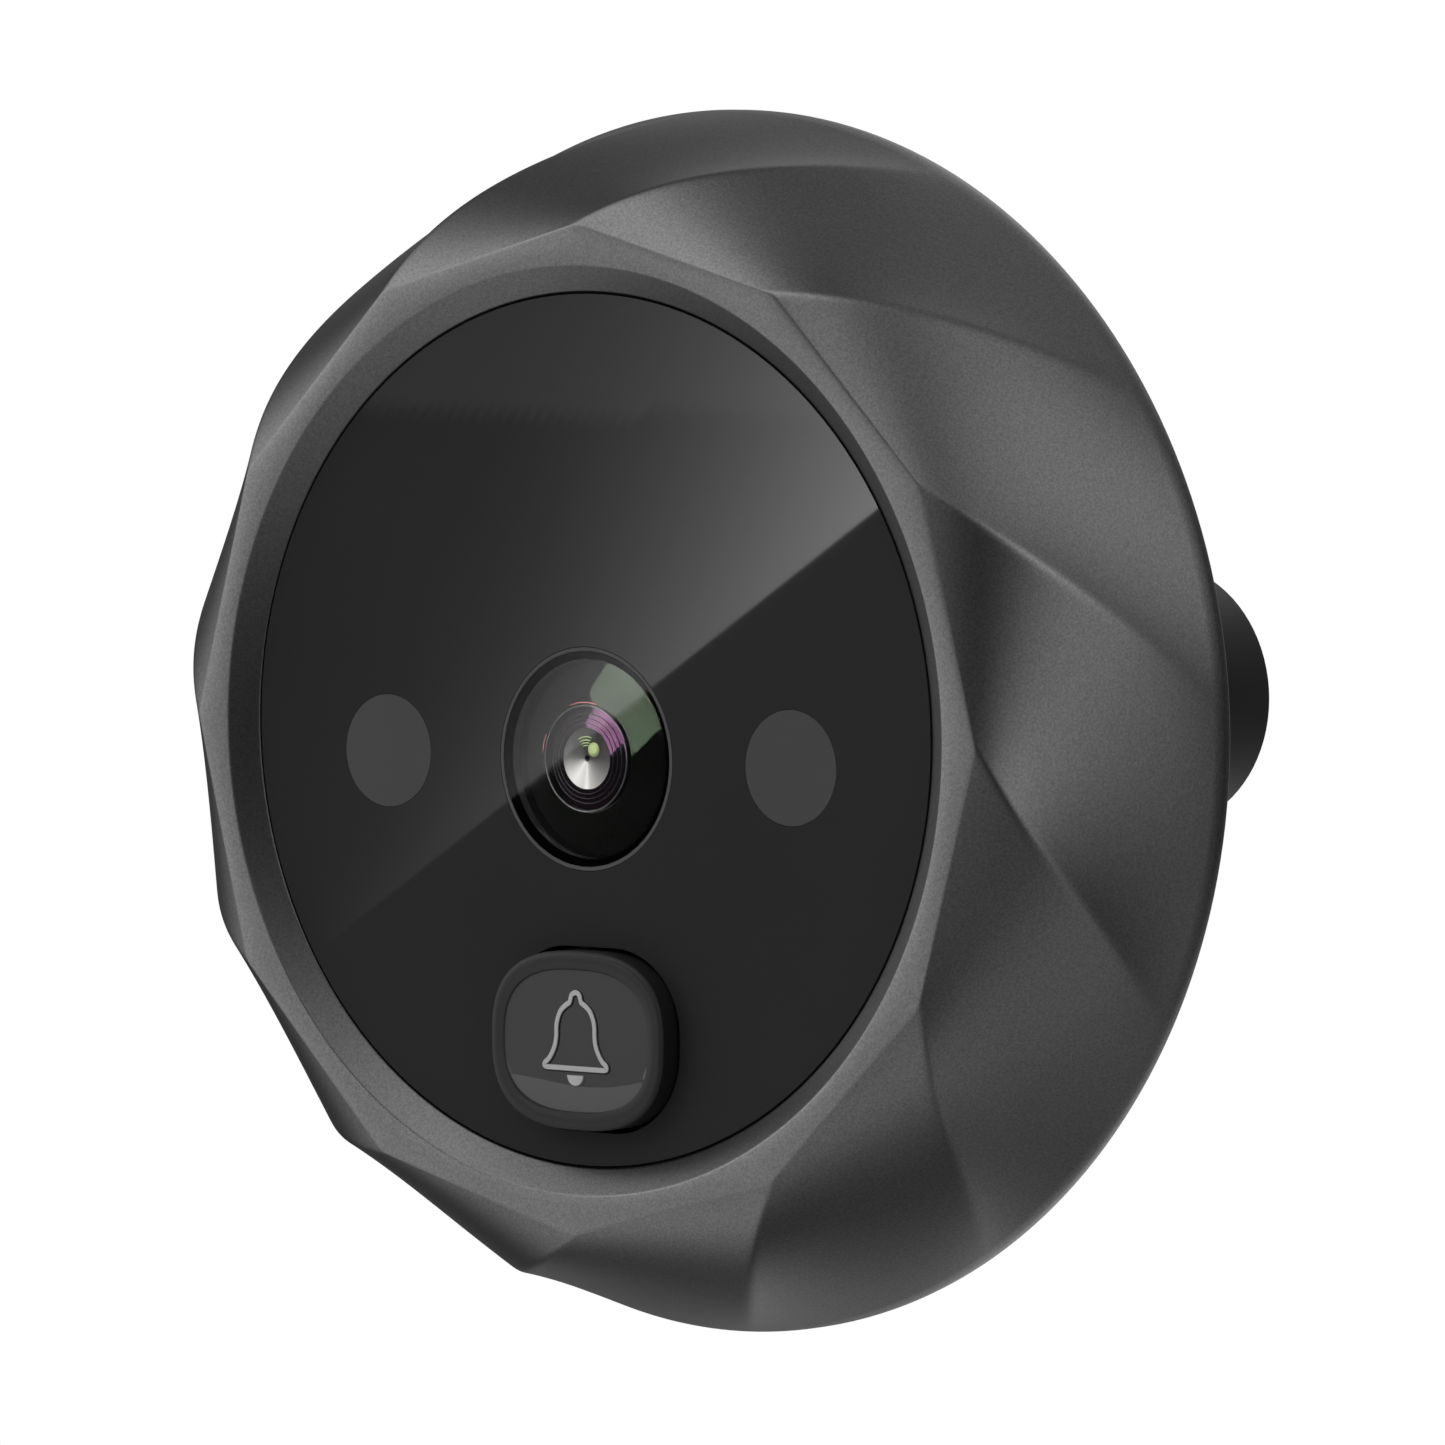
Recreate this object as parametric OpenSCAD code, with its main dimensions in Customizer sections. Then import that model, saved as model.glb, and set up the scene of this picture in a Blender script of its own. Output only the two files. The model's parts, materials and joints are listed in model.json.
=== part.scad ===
// Outdoor unit of a digital door viewer: a swirl-faceted cast bezel with a camera, two infrared lamps
// and a bell button behind a round panel, on a short barrel that passes through the door.
// The front faces -Y, +Z is up, and the origin is where the barrel's axis meets the door face.

/* [Bezel] */
// Radius of the round rim that meets the door
rim_r = 28.5; // [28.2:0.1:32]
// Corner radius of the twelve-sided front flat
front_r = 23.1; // [22.8:0.1:23.6]
// Depth from the door face to the front flat
bezel_depth = 11.8; // [11.6:0.1:12.2]
// Depth of the straight edge at the rim
rim_edge = 0.6; // [0.3:0.1:1.2]
// How far each ridge turns clockwise between the front and the rim, in degrees
ridge_turn = 27.4; // [10:0.2:40]
// How quickly the facets round out towards the rim: higher keeps them flat for longer
facet_hold = 3; // [1:0.5:5]

/* [Front panel] */
// Radius of the glossy panel
panel_r = 19.95; // [19.8:0.05:20]
// Thickness of the panel
panel_t = 1.3; // [1.2:0.1:1.4]
// How far the panel lies behind the front flat
panel_recess = 0.9; // [0.8:0.1:1]
// Mouth radius of the sloping ring around the panel
cone_r = 21.25; // [20.9:0.05:21.6]

/* [Camera] */
// Height of the camera axis over the barrel axis
camera_z = -1.3; // [-1.5:0.1:0]
// Outer radius of the ring around the camera window
lens_ring_r = 5.12; // [4.9:0.02:5.2]
// Outer radius of the threaded lens barrel
lens_barrel_r = 3.5; // [3.4:0.05:3.6]

/* [Infrared lamps] */
// Distance of each lamp from the middle
lamp_x = 12; // [11.6:0.1:12.2]
// Height of the lamps over the barrel axis
lamp_z = -1.3; // [-1.6:0.1:0]
// Radius of each lamp window
lamp_window_r = 2.64; // [2.5:0.02:2.8]

/* [Bell button] */
// How far the button's centre stands to the right of the barrel axis
button_x = 0.3; // [0:0.05:0.4]
// Height of the button's centre over the barrel axis
button_z = -14.15; // [-14.3:0.05:-14]
// Width of the button cap
button_w = 10.2; // [9.6:0.1:10.4]
// Height of the button cap
button_h = 8.2; // [7.8:0.1:8.4]
// How far the cap stands out of the panel
button_proud = 1.15; // [0.8:0.05:1.2]
// Travel of the cap
button_travel = 0.5; // [0.3:0.05:0.6]

/* [Rear cover and barrel] */
// Thickness of the rear cover
cover_t = 1.6; // [1.5:0.1:1.7]
// Outer radius of the barrel that goes through the door
barrel_r = 6.5; // [6.4:0.05:6.7]
// Length of the barrel behind the door face
barrel_len = 34; // [26:1:60]
// Distance between the two threaded holes for the door screws
door_screw_pitch = 9.1; // [9:0.05:9.2]
// Core radius of the M3 threads for the door screws
door_screw_r = 1.25; // [1.2:0.05:1.3]

/* [Hidden] */
$fn = 96;

// Facets and levels of the swirled skin
sides = 12;
side_steps = 6;
levels = 14;
// The ridge falls back slowly at the front and steeply at the rim: shares of the linear and square terms
drop_linear = 0.21;
drop_square = 0.3;
// Shares of the ridge's turn that grow with the linear and square terms
turn_linear = 0.895;
turn_square = -0.35;

// Depth stations, from the front backwards
front_y = -bezel_depth;
panel_y = front_y + panel_recess;
panel_back = panel_y + panel_t;
tape_t = 0.2;
ledge_y = panel_back + tape_t;
ledge_back = ledge_y + 1;
board_t = 1;
board_gap = 1.3;
cover_y = -cover_t;
board_back = cover_y - board_gap;
board_y = board_back - board_t;

// Radii inside the bezel
pocket_r = panel_r + 0.25;
ledge_r = 18.9;
cavity_r = 20.3;
recess_r = 26.2;
seal_r = 21;
seal_w = 0.9;
seal_t = 0.8;
board_r = 19.6;

// Screws: radius of the circle they stand on and their angles
housing_pcd_r = 23.4;
housing_angles = [45, 135, 225, 315];
flange_pcd_r = 8.7;
flange_angles = [90, 210, 330];
boss_pcd_r = 17.8;
boss_angles = [90, 205, 335];
boss_r = 1.7;
screw_r = 0.98;
screw_hole_r = 1;
screw_pass_r = 1.1;
head_r = 1.8;
head_t = 0.9;
small_screw_r = 0.68;
small_hole_r = 0.7;

// Barrel
flange_r = 10.5;
flange_t = 1;
shoulder_r = barrel_r + 0.4;
slot_r = 2.7;
slot_half = 4.6;
barrel_chamfer = 0.5;
thread_depth = 12;
pad_in_r = 13;
pad_out_r = 21;
pad_t = 0.6;

// Camera stack
window_r = 4.93;
window_t = 0.4;
lens_front_y = panel_y + window_t + 0.05;
holder_half = 4.8;
holder_base_y = board_y - 1.5;
holder_top_y = board_y - 4.1;
sleeve_r = 4.4;
filter_y = board_y - 2;
element_r = 2.85;
element_y = lens_front_y + 1.1;
retainer_t = 0.4;
stop_y = element_y + 0.7;
rear_seat_y = stop_y + 0.4;

// Button stack
button_y = panel_y - button_proud;
button_corner = 3.7;
cap_back = panel_back + 0.5;
lug_t = 0.4;
lug_w = 0.9;
cap_roof = 1.25;
seal_h = button_travel + 0.7;
guide_floor_y = cap_back + seal_h;
guide_floor_t = 0.6;
stem_r = 1.3;
plunger_r = 1;
switch_h = 2;
switch_y = board_y - switch_h;
plunger_y = switch_y - 1.05;
bell_w = 1.92;
bell_h = 3.27;
bell_line = 0.25;
bell_foot = -1.35;
bell_depth = 0.3;

// ---------- helpers: everything is drawn as seen from the front, then given its depth ----------

// A flat outline given depth from y0 back to y1
module plate(y0, y1)
    translate([0, y1, 0]) rotate([90, 0, 0]) linear_extrude(y1 - y0) children();

// A disc on an axis along Y
module disc(r, y0, y1, x = 0, z = 0)
    translate([x, y1, z]) rotate([90, 0, 0]) cylinder(r = r, h = y1 - y0);

// A cone on an axis along Y, with radius r0 at y0 and r1 at y1
module taper(r0, y0, r1, y1, x = 0, z = 0)
    translate([x, y0, z]) rotate([-90, 0, 0]) cylinder(r1 = r0, r2 = r1, h = y1 - y0);

module tube(r_out, r_in, y0, y1, x = 0, z = 0)
    difference() {
        disc(r_out, y0, y1, x, z);
        disc(r_in, y0 - 1, y1 + 1, x, z);
    }

// A profile of [radius, y] points turned about the Y axis at (x, z)
module turned(x = 0, z = 0)
    translate([x, 0, z]) rotate([-90, 0, 0]) rotate_extrude() children();

// Children repeated on a circle of radius r, at the listed angles
module around(r, angles)
    for (a = angles) translate([r * cos(a), 0, r * sin(a)]) children();

module rounded_rect(w, h, r) {
    square([w - 2 * r, h], center = true);
    square([w, h - 2 * r], center = true);
    for (sx = [-1, 1], sz = [-1, 1]) translate([sx * (w / 2 - r), sz * (h / 2 - r)]) circle(r, $fn = 48);
}

module box_at(x, z, w, h, y0, y1)
    translate([x - w / 2, y0, z - h / 2]) cube([w, y1 - y0, h]);

// A countersunk screw whose head is flush at y = y0 and whose shank runs to y = y1 (towards the front)
module countersunk_screw(y0, y1, r, hr, ht)
    difference() {
        union() {
            taper(r, y0 - ht, hr, y0);
            disc(r, y1, y0 - ht + 0.01);
        }
        cross_recess(y0, hr * 1.1, 0.5);
    }

// A pan-head screw driven from the rear: its head stands on y_seat and its tip points to the front
module pan_screw(y_seat, y_tip, r, hr, ht)
    difference() {
        union() {
            disc(hr, y_seat, y_seat + ht);
            disc(r, y_tip, y_seat + 0.01);
        }
        cross_recess(y_seat + ht, hr * 1.2, ht * 0.6);
    }

module cross_recess(y, size, depth)
    for (a = [0, 90]) rotate([0, a, 0]) box_at(0, 0, size, size * 0.22, y - depth, y + 1);

// ---------- swirled skin ----------

function skin_r(u) = front_r + (rim_r - front_r) * u;
function skin_y(u) = front_y + (bezel_depth - rim_edge)
    * (drop_linear * u + drop_square * u * u + (1 - drop_linear - drop_square) * u * u * u);
function skin_turn(u) = -ridge_turn
    * (turn_linear * u + turn_square * u * u + (1 - turn_linear - turn_square) * u * u * u);
function flat_share(u) = 1 - pow(u, facet_hold);
// One point of the skin: u runs from the front to the rim, column c runs clockwise round the bezel
function skin_point(u, c) =
    let (
        step = 360 / sides,
        across = (c % side_steps) / side_steps * step - step / 2,
        chord = cos(step / 2) / cos(across),
        r = skin_r(u) * (1 + (chord - 1) * flat_share(u)),
        a = 90 + skin_turn(u) - c * step / side_steps
    ) [r * cos(a), skin_y(u), r * sin(a)];

module swirled_skin() {
    columns = sides * side_steps;
    rim_ring = [for (c = [0:columns - 1]) let (a = 90 + skin_turn(1) - c * 360 / columns)
        [rim_r * cos(a), 0, rim_r * sin(a)]];
    skin = [for (i = [0:levels], c = [0:columns - 1]) skin_point(i / levels, c)];
    points = concat(skin, rim_ring, [[0, front_y, 0], [0, 0, 0]]);
    wall = [for (i = [0:levels], c = [0:columns - 1]) let (n = (c + 1) % columns)
        [i * columns + c, i * columns + n, (i + 1) * columns + n, (i + 1) * columns + c]];
    split = [for (q = wall) each [[q[0], q[1], q[2]], [q[0], q[2], q[3]]]];
    last = (levels + 1) * columns;
    middle = last + columns;
    front = [for (c = [0:columns - 1]) [middle, (c + 1) % columns, c]];
    back = [for (c = [0:columns - 1]) [middle + 1, last + c, last + (c + 1) % columns]];
    polyhedron(points, concat(split, front, back), convexity = 6);
}

// ---------- housing ----------

module front_bezel() color([0.3, 0.3, 0.31])
    difference() {
        swirled_skin();
        taper(cone_r + (cone_r - pocket_r), front_y - panel_recess, pocket_r, panel_y);
        disc(pocket_r, panel_y - 0.01, ledge_y);
        disc(ledge_r, ledge_y - 0.01, ledge_back + 0.01);
        disc(cavity_r, ledge_back, cover_y + 0.01);
        disc(recess_r, cover_y, 1);
        tube(seal_r + seal_w, seal_r, cover_y - seal_t, cover_y + 0.01);
        around(housing_pcd_r, housing_angles) disc(screw_hole_r, cover_y - 5.8, cover_y + 0.1);
    }

// The moulded ring behind the ledge that carries the board on three bosses
module board_frame() color([0.13, 0.13, 0.13])
    difference() {
        union() {
            tube(cavity_r - 0.1, ledge_r, ledge_back, board_y);
            around(boss_pcd_r, boss_angles) disc(boss_r, ledge_back, board_y);
        }
        around(boss_pcd_r, boss_angles) disc(small_hole_r, board_y - 3.4, board_y + 0.1);
    }

module rear_cover() color([0.27, 0.27, 0.28])
    difference() {
        disc(recess_r - 0.1, cover_y, 0);
        disc(shoulder_r + 0.05, cover_y - 1, 1);
        tube(pad_out_r, pad_in_r, -pad_t, 1);
        around(housing_pcd_r, housing_angles) screw_seat();
        around(flange_pcd_r, flange_angles) screw_seat();
    }

// A clearance hole and countersink that opens at the door face
module screw_seat() {
    disc(screw_pass_r, cover_y - 1, 1);
    taper(screw_pass_r, -head_t, head_r + 0.1, 0);
    disc(head_r + 0.1, -0.001, 1);
}

module rear_seal() color([0.08, 0.08, 0.08])
    tube(seal_r + seal_w, seal_r, cover_y - seal_t, cover_y);

module door_pad() color([0.12, 0.12, 0.12])
    tube(pad_out_r - 0.05, pad_in_r + 0.05, -pad_t, 0);

module housing_screws() color([0.2, 0.2, 0.21])
    around(housing_pcd_r, housing_angles)
        countersunk_screw(0, cover_y - 5.4, screw_r, head_r, head_t);

// ---------- barrel ----------

module slot_outline() {
    square([2 * slot_r, 2 * (slot_half - slot_r)], center = true);
    for (s = [-1, 1]) translate([0, s * (slot_half - slot_r)]) circle(slot_r);
}

module mounting_barrel() color([0.24, 0.24, 0.25])
    difference() {
        union() {
            disc(flange_r, cover_y - flange_t, cover_y);
            disc(shoulder_r, cover_y - 0.01, 0);
            disc(barrel_r, -0.01, barrel_len - barrel_chamfer);
            taper(barrel_r, barrel_len - barrel_chamfer, barrel_r - barrel_chamfer, barrel_len);
        }
        plate(cover_y - flange_t - 1, barrel_len + 1) slot_outline();
        for (s = [-1, 1])
            disc(door_screw_r, barrel_len - thread_depth, barrel_len + 1, s * door_screw_pitch / 2, 0);
        around(flange_pcd_r, flange_angles) disc(screw_hole_r, cover_y - flange_t - 1, cover_y + 0.1);
    }

module barrel_screws() color([0.2, 0.2, 0.21])
    around(flange_pcd_r, flange_angles)
        countersunk_screw(0, cover_y - flange_t + 0.05, screw_r, head_r, head_t);

// ---------- front panel ----------

module button_outline(gap)
    translate([button_x, button_z]) rounded_rect(button_w + 2 * gap, button_h + 2 * gap, button_corner + gap);

module front_panel() color([0.05, 0.05, 0.05])
    difference() {
        disc(panel_r, panel_y, panel_back);
        disc(lens_ring_r + 0.03, panel_y - 1, panel_back + 1, 0, camera_z);
        for (s = [-1, 1]) disc(lamp_window_r, panel_y - 1, panel_back + 1, s * lamp_x, lamp_z);
        plate(panel_y - 1, panel_back + 1) button_outline(0.15);
    }

module panel_tape() color([0.1, 0.1, 0.1])
    tube(pocket_r - 0.1, ledge_r, panel_back, ledge_y);

module ir_windows() color([0.16, 0.16, 0.16])
    for (s = [-1, 1]) disc(lamp_window_r - 0.02, panel_y, panel_back, s * lamp_x, lamp_z);

// ---------- camera ----------

module lens_ring() color([0.3, 0.3, 0.3])
    difference() {
        disc(lens_ring_r, panel_y, panel_back, 0, camera_z);
        disc(window_r + 0.02, panel_y - 1, panel_y + window_t, 0, camera_z);
        disc(window_r - 0.35, panel_y, panel_back + 1, 0, camera_z);
    }

module lens_window() color([0.7, 0.75, 0.8, 0.4])
    disc(window_r, panel_y, panel_y + window_t, 0, camera_z);

module lens_barrel() color([0.06, 0.06, 0.06])
    difference() {
        union() {
            disc(sleeve_r - 0.1, lens_front_y, lens_front_y + 0.7, 0, camera_z);
            disc(lens_barrel_r, lens_front_y, filter_y - 0.2, 0, camera_z);
        }
        disc(element_r + 0.02, lens_front_y - 1, element_y, 0, camera_z);
        disc(1.6, element_y - 0.01, stop_y, 0, camera_z);
        disc(2.2, stop_y, filter_y, 0, camera_z);
    }

module lens_retainer() color([0.1, 0.1, 0.1])
    tube(element_r, element_r - 0.55, lens_front_y, lens_front_y + retainer_t, 0, camera_z);

// A glass element with a domed front: a disc cut by the sphere that passes through its rim and crown
module dome_element(r, y_crown, y_rim, y_back) {
    rise = y_rim - y_crown;
    ball_r = (r * r + rise * rise) / (2 * rise);
    translate([0, 0, camera_z]) intersection() {
        disc(r, y_crown - 0.1, y_back);
        translate([0, y_crown + ball_r, 0]) sphere(r = ball_r, $fn = 128);
    }
}

module lens_front_element() color([0.6, 0.65, 0.7, 0.5])
    difference() {
        dome_element(element_r, lens_front_y + 0.1, lens_front_y + 0.75, element_y);
        tube(element_r + 1, element_r - 0.56, lens_front_y - 1, lens_front_y + retainer_t, 0, camera_z);
    }

module lens_aperture() color([0.03, 0.03, 0.03])
    tube(2.18, 0.55, stop_y, stop_y + 0.2, 0, camera_z);

module lens_rear_element() color([0.6, 0.65, 0.7, 0.5])
    dome_element(2.18, rear_seat_y, rear_seat_y + 0.35, rear_seat_y + 0.9);

module lens_holder() color([0.07, 0.07, 0.07])
    difference() {
        union() {
            box_at(0, camera_z, 2 * holder_half, 2 * holder_half, holder_base_y, board_y);
            for (s = [-1, 1]) disc(1.5, holder_base_y, board_y, s * (holder_half + 0.9), camera_z);
            disc(sleeve_r, holder_top_y, holder_base_y + 0.01, 0, camera_z);
        }
        disc(lens_barrel_r + 0.03, holder_top_y - 1, filter_y + 0.3, 0, camera_z);
        disc(2.4, filter_y, holder_base_y + 0.1, 0, camera_z);
        box_at(0, camera_z, 7.2, 7.2, holder_base_y, board_y + 1);
        for (s = [-1, 1])
            disc(small_hole_r, holder_base_y - 1, board_y + 1, s * (holder_half + 0.9), camera_z);
    }

module holder_screws() color([0.5, 0.5, 0.5])
    for (s = [-1, 1]) translate([s * (holder_half + 0.9), 0, camera_z])
        pan_screw_forward(holder_base_y, board_back, small_screw_r, 1.25, 0.5);

// A pan-head screw driven from the front: head towards the front, tip towards the rear
module pan_screw_forward(y_seat, y_tip, r, hr, ht)
    difference() {
        union() {
            disc(hr, y_seat - ht, y_seat);
            disc(r, y_seat - 0.01, y_tip);
        }
        for (a = [0, 90]) rotate([0, a, 0])
            box_at(0, 0, hr * 1.2, hr * 0.26, y_seat - ht - 1, y_seat - ht * 0.4);
    }

module ir_cut_filter() color([0.5, 0.7, 0.75, 0.6])
    disc(3.3, filter_y, filter_y + 0.3, 0, camera_z);

module image_sensor() color([0.2, 0.22, 0.25])
    difference() {
        box_at(0, camera_z, 6, 5.2, board_y - 0.9, board_y);
        box_at(0, camera_z, 4.4, 3.4, board_y - 2, board_y - 0.7);
    }

// ---------- infrared lamps ----------

module ir_lamps() color([0.55, 0.6, 0.7, 0.7])
    for (s = [-1, 1]) translate([s * lamp_x, 0, lamp_z]) {
        disc(1.9, board_y - 1, board_y);
        disc(1.5, board_y - 3.6, board_y - 0.99);
        intersection() {
            translate([0, board_y - 3.6, 0]) sphere(r = 1.5);
            disc(1.6, board_y - 6, board_y - 3.59);
        }
    }

module ir_shrouds() color([0.1, 0.1, 0.1])
    for (s = [-1, 1]) tube(3.2, 1.7, panel_back, board_y - 1.05, s * lamp_x, lamp_z);

// ---------- bell button ----------

// Half width of the bell at height t: a flared lip at 0, a straight waist and a round crown at 1
function bell_half(t, w) = t > 0.6
    ? w * 0.63 * sqrt(max(0, 1 - pow((t - 0.6) / 0.4, 2)))
    : w * (0.63 + 0.37 * pow(max(0, 0.42 - t) / 0.42, 1.5));

module bell_shape(w, h, base, steps = 20) {
    right = [for (i = [0:steps]) let (t = i / steps) [bell_half(t, w), base + h * t]];
    left = [for (i = [steps - 1:-1:0]) [-right[i][0], right[i][1]]];
    polygon(concat(right, left));
}

// The bell's line, the small loop on its crown and the clapper under its lip
module bell_outline() translate([button_x, button_z + bell_foot]) {
    difference() {
        union() {
            bell_shape(bell_w, bell_h, 0);
            translate([0, bell_h]) circle(0.38, $fn = 32);
        }
        bell_shape(bell_w - bell_line * 1.5, bell_h - 2 * bell_line, bell_line);
    }
    intersection() {
        translate([0, -0.18]) circle(0.52, $fn = 40);
        translate([-1, -1.18]) square([2, 1]);
    }
}

module bell_button() color([0.2, 0.2, 0.2])
    difference() {
        union() {
            plate(button_y, cap_back) button_outline(0);
            box_at(button_x, button_z, button_w + 2 * lug_w, 5, cap_back - lug_t, cap_back);
            disc(stem_r, button_y + cap_roof, plunger_y - 0.05, button_x, button_z);
        }
        difference() {
            plate(button_y + cap_roof, cap_back + 1) button_outline(-1.1);
            disc(stem_r, button_y, cap_back + 2, button_x, button_z);
        }
        plate(button_y - 1, button_y + bell_depth) bell_outline();
    }

module bell_inlay() color([0.75, 0.75, 0.75])
    plate(button_y, button_y + bell_depth) bell_outline();

module button_guide() color([0.15, 0.15, 0.15])
    intersection() {
        disc(ledge_r - 0.15, panel_back, guide_floor_y + guide_floor_t);
        difference() {
            box_at(button_x, button_z, button_w + 4.4, button_h + 4.4, panel_back, guide_floor_y + guide_floor_t);
            plate(panel_back - 1, guide_floor_y) button_outline(0.2);
            box_at(button_x, button_z, button_w + 2 * lug_w + 0.4, 5.4, panel_back - 1, guide_floor_y);
            disc(stem_r + 0.2, guide_floor_y - 1, guide_floor_y + 2, button_x, button_z);
        }
    }

module button_seal() color([0.35, 0.35, 0.36])
    plate(cap_back, guide_floor_y) difference() {
        button_outline(0);
        button_outline(-1.05);
    }

module switch_body() color([0.08, 0.08, 0.08])
    difference() {
        box_at(button_x, button_z, 4.5, 4.5, switch_y, board_y);
        disc(1.6, switch_y - 1, board_y - 0.8, button_x, button_z);
    }

module switch_frame() color([0.75, 0.75, 0.76])
    difference() {
        box_at(button_x, button_z, 4.5, 4.5, switch_y - 0.2, switch_y);
        disc(plunger_r + 0.12, switch_y - 1, switch_y + 1, button_x, button_z);
    }

module switch_plunger() color([0.7, 0.68, 0.6]) {
    disc(plunger_r, plunger_y, switch_y + 0.11, button_x, button_z);
    disc(1.4, switch_y + 0.1, switch_y + 0.5, button_x, button_z);
}

module switch_dome() color([0.8, 0.75, 0.6])
    translate([button_x, 0, button_z]) turned() polygon([
        [0, switch_y + 0.52], [0.5, switch_y + 0.56], [1.1, switch_y + 0.8], [1.5, board_y - 0.8],
        [1.3, board_y - 0.8], [0.95, switch_y + 0.86], [0.45, switch_y + 0.64], [0, switch_y + 0.6]
    ]);

// ---------- board ----------

module main_board() color([0.05, 0.25, 0.15])
    difference() {
        disc(board_r, board_y, board_back);
        around(boss_pcd_r, boss_angles) disc(0.9, board_y - 1, board_back + 1);
        for (s = [-1, 1])
            disc(small_hole_r, board_y - 1, board_back + 1, s * (holder_half + 0.9), camera_z);
    }

// Processor, memory, regulator and two capacitors
module board_chips() color([0.1, 0.1, 0.11]) {
    box_at(10, 9.5, 6.5, 6.5, board_y - 0.9, board_y);
    box_at(-10, 9.5, 5.2, 6, board_y - 0.9, board_y);
    box_at(9.5, -10, 3, 3, board_y - 1.2, board_y);
    for (x = [-2.2, 2.2]) box_at(x, 11.5, 1.2, 2, board_y - 1, board_y);
}

module board_screws() color([0.6, 0.6, 0.6])
    around(boss_pcd_r, boss_angles) pan_screw(board_back, board_y - 3, small_screw_r, 1.3, 0.6);

module cable_socket() color([0.85, 0.84, 0.78])
    difference() {
        box_at(0, 0, 4.4, 6.2, board_back, cover_y + 2.8);
        box_at(0, 0, 3.2, 5, board_back + 1, cover_y + 4);
    }

front_bezel();
rear_cover();
rear_seal();
board_frame();
door_pad();
housing_screws();
mounting_barrel();
barrel_screws();
front_panel();
panel_tape();
lens_ring();
lens_window();
lens_barrel();
lens_retainer();
lens_front_element();
lens_aperture();
lens_rear_element();
lens_holder();
holder_screws();
ir_cut_filter();
image_sensor();
ir_windows();
ir_lamps();
ir_shrouds();
bell_button();
bell_inlay();
button_guide();
button_seal();
switch_body();
switch_frame();
switch_plunger();
switch_dome();
main_board();
board_chips();
board_screws();
cable_socket();
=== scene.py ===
# %% [markdown]
# # A door viewer, built around its CAD frame
#
# The object is the outdoor half of a digital door viewer: a cast bezel whose twelve facets swirl
# back to a round rim, a polished panel with a camera, two infrared windows and a bell button, and
# a short barrel that passes through the door. The CAD model is loaded first, and everything below
# either gives a CAD piece its finish or puts a finer piece in its place. Nothing is moved, so the
# front still faces -Y, +Z is up, and the barrel's axis meets the door at the origin.

# %% Load the frame
import json
import math

import bpy
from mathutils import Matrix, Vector


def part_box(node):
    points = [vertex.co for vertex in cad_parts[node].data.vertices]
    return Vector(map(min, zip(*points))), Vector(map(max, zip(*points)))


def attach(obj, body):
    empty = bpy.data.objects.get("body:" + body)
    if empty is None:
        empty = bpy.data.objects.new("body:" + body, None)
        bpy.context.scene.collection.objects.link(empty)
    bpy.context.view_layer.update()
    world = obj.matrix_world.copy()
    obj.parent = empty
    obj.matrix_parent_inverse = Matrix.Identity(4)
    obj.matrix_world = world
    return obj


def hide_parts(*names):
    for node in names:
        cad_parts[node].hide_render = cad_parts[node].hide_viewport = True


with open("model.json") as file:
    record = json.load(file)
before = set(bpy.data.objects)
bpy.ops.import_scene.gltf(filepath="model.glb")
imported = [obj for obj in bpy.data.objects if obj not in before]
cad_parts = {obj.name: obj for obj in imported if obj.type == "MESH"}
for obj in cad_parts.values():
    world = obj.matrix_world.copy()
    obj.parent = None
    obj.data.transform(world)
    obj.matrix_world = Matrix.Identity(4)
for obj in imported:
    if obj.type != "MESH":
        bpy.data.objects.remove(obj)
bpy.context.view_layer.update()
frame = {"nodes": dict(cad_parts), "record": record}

MM = 0.001

# %% [markdown]
# ## The camera
#
# The camera is placed before anything is modelled, so that each shape can be judged from where it
# will be seen. It stands to the right of the front and a little above it. A long lens from 40 cm
# keeps the circles' perspective gentle. It is set with three directions instead of a tracking
# constraint, because constraints would fight the other views.

# %% Camera
AZIMUTH = math.radians(39.16)
ELEVATION = math.radians(2.86)
TARGET = Vector((0.0, -8.906, 0.0)) * MM
DISTANCE = 414.94 * MM
SIDE_SHIFT = 4.9875 * MM
RISE = 0.294 * MM
LENS_MM = 225.27

back = Vector(
    (
        math.sin(AZIMUTH) * math.cos(ELEVATION),
        -math.cos(AZIMUTH) * math.cos(ELEVATION),
        math.sin(ELEVATION),
    )
)
right = Vector((math.cos(AZIMUTH), math.sin(AZIMUTH), 0.0))
up = back.cross(right)

camera_data = bpy.data.cameras.new("camera")
camera_data.lens = LENS_MM
camera_data.sensor_width = 36.0
camera_data.clip_start = 0.01
camera = bpy.data.objects.new("camera", camera_data)
bpy.context.scene.collection.objects.link(camera)
camera.location = TARGET + back * DISTANCE + right * SIDE_SHIFT + up * RISE
turn = camera.matrix_world.to_3x3()
turn.col[0], turn.col[1], turn.col[2] = right, up, back
camera.rotation_euler = turn.to_euler()
bpy.context.scene.camera = camera
print("camera at", [round(v, 4) for v in camera.location])

# %% [markdown]
# ## Helpers for meshes
#
# Nearly every piece here is either turned on a lathe or moulded round an axis along Y, so two
# helpers make most of them. `mesh_piece` turns points and faces, given in millimetres, into an
# object. `turned` sweeps a profile of (radius, depth) pairs round an axis, which is what a lathe
# does. A Screw modifier could do the same, but a direct mesh lets the profile close on itself and
# keeps every ring where the profile says.

# %% Mesh helpers
def mesh_piece(name, points, faces, body="housing", sharp_over=30.0):
    mesh = bpy.data.meshes.new(name)
    mesh.from_pydata([(x * MM, y * MM, z * MM) for x, y, z in points], [], faces)
    mesh.validate()
    mesh.shade_smooth()
    mesh.set_sharp_from_angle(angle=math.radians(sharp_over))
    piece = bpy.data.objects.new(name, mesh)
    bpy.context.scene.collection.objects.link(piece)
    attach(piece, body)
    return piece


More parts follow.
